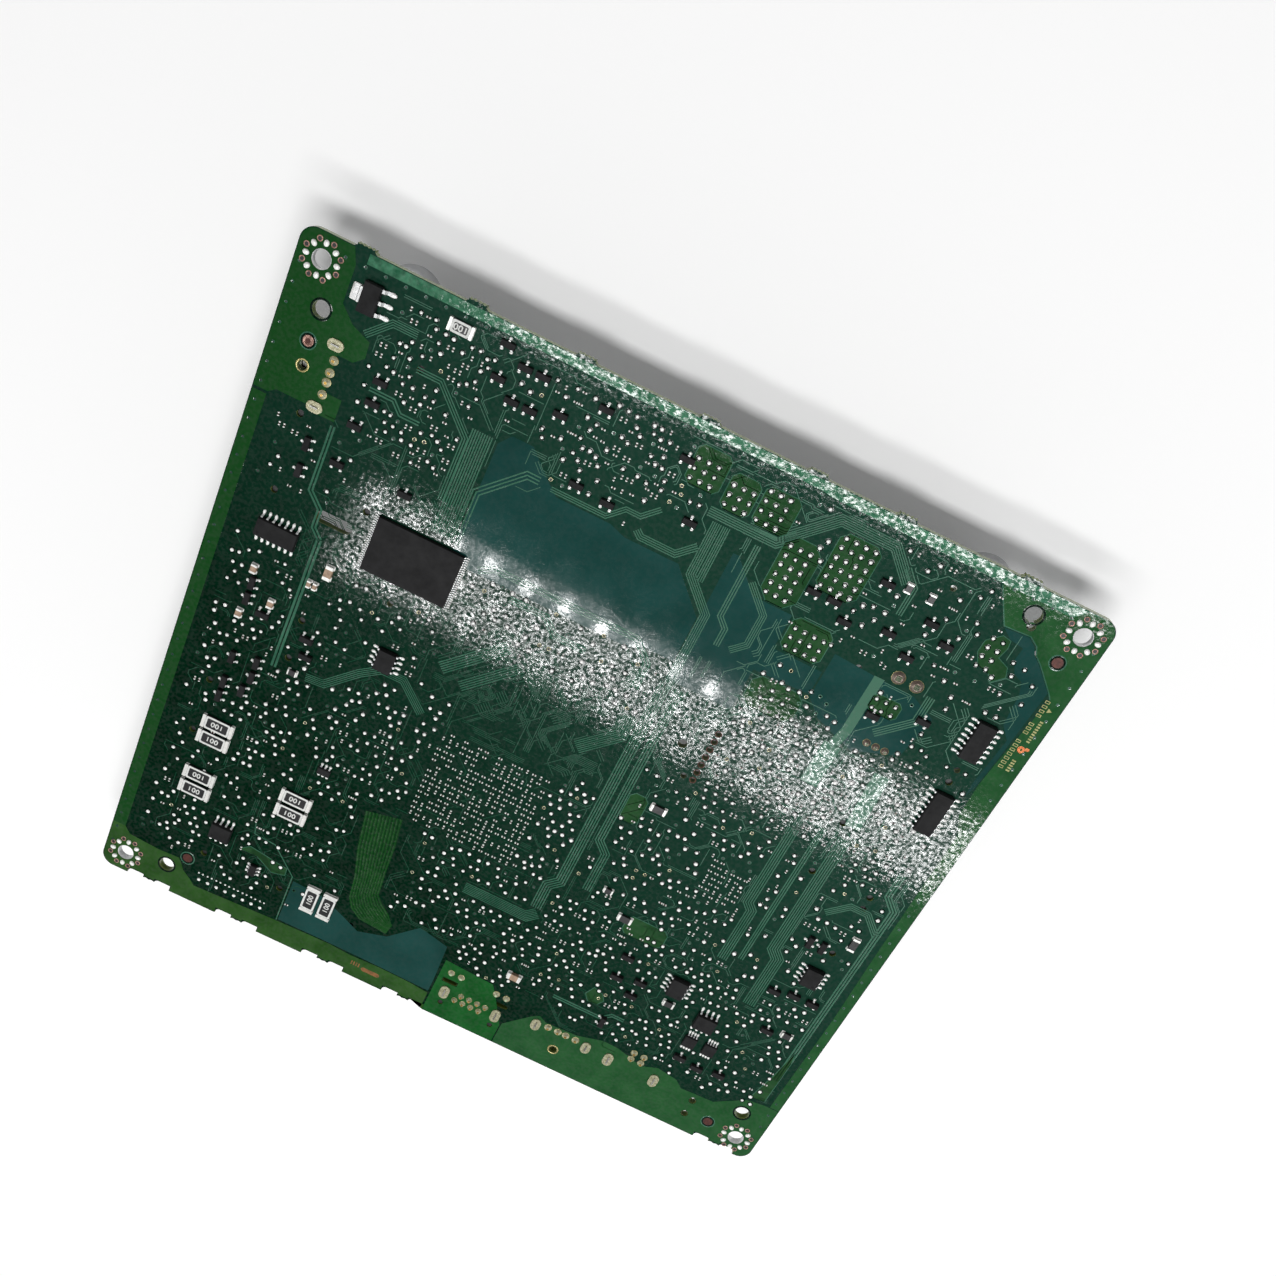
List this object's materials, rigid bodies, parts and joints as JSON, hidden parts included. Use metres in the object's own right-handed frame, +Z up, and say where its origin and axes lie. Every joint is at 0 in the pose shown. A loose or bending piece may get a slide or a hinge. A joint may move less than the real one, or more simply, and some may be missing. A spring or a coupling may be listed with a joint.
{
  "type": "printer main board",
  "caption": "Printer main board with chips and solder points on its upper side, and ports, connectors, capacitors and a heat sink hanging below.",
  "frame": {"origin": "under the middle of the card, on the surface that its tallest parts stand on", "axes": "+X across the card, -Y out of the port edge, +Z up through the soldered side"},
  "size_m": [0.166, 0.1556, 0.0168],
  "materials": {
    "laminate": "glossy green solder mask over woven glass laminate",
    "solder": "bright reflowed tin",
    "chip_mould": "fine matt moulded epoxy",
    "lead_tin": "satin tin plating",
    "resistor_glaze": "black glaze with white printed frame",
    "ceramic": "fired tan ceramic",
    "end_cap": "soldered end cap",
    "package_laminate": "green package laminate with a black cap",
    "tape": "soft grey-blue heat tape",
    "sink_metal": "black anodised extrusion",
    "ferrite": "pressed ferrite",
    "can_metal": "drawn aluminium, lacquered",
    "black_plastic": "moulded heat-proof plastic",
    "ivory_plastic": "moulded nylon",
    "white_plastic": "moulded plastic",
    "lamp_plastic": "cloudy green light bar",
    "shell_steel": "folded tin-plated sheet",
    "contact_gold": "gold flash",
    "crystal_lid": "pressed metal lid"
  },
  "bodies": {
    "root": {"circuit_board": "laminate", "pin_solder": "solder", "flash_memory": "chip_mould", "flash_memory_leads": "lead_tin", "logic_chips": "chip_mould", "logic_chip_leads": "lead_tin", "small_chips": "chip_mould", "small_chip_leads": "lead_tin", "micro_chips": "chip_mould", "micro_chip_leads": "lead_tin", "voltage_regulator": "chip_mould", "voltage_regulator_leads": "lead_tin", "sense_resistors": "resistor_glaze", "sense_resistor_ends": "end_cap", "transistors": "chip_mould", "transistor_leads": "lead_tin", "ceramic_capacitors": "ceramic", "ceramic_capacitor_ends": "end_cap", "diodes": "chip_mould", "diode_ends": "end_cap", "main_processor": "package_laminate", "solder_balls": "solder", "thermal_tape": "tape", "heat_sink": "sink_metal", "memory_chips": "package_laminate", "servo_processor": "package_laminate", "network_chip": "chip_mould", "network_chip_leads": "lead_tin", "motor_drivers": "chip_mould", "motor_driver_leads": "lead_tin", "power_transistors": "chip_mould", "power_transistor_leads": "lead_tin", "power_inductors": "ferrite", "power_inductor_ends": "end_cap", "capacitor_cans": "can_metal", "capacitor_bases": "black_plastic", "capacitor_leads": "lead_tin", "crystal_bases": "ceramic", "crystal_lids": "crystal_lid", "decoupling_capacitors": "ceramic", "decoupling_capacitor_ends": "end_cap", "ribbon_connectors": "ivory_plastic", "ribbon_contacts": "contact_gold", "wire_headers": "ivory_plastic", "wire_header_pins": "lead_tin", "power_header": "ivory_plastic", "power_header_pins": "lead_tin", "network_jack_housing": "black_plastic", "network_jack_insert": "black_plastic", "network_jack_contacts": "contact_gold", "network_jack_lamps": "lamp_plastic", "network_jack_shield": "shell_steel", "usb_host_shell_front": "shell_steel", "usb_host_shell_side": "shell_steel", "usb_host_tongues": "white_plastic", "usb_host_contacts": "contact_gold", "usb_device_shell": "shell_steel", "usb_device_housing": "white_plastic", "usb_device_contacts": "contact_gold"}
  },
  "joints": []
}
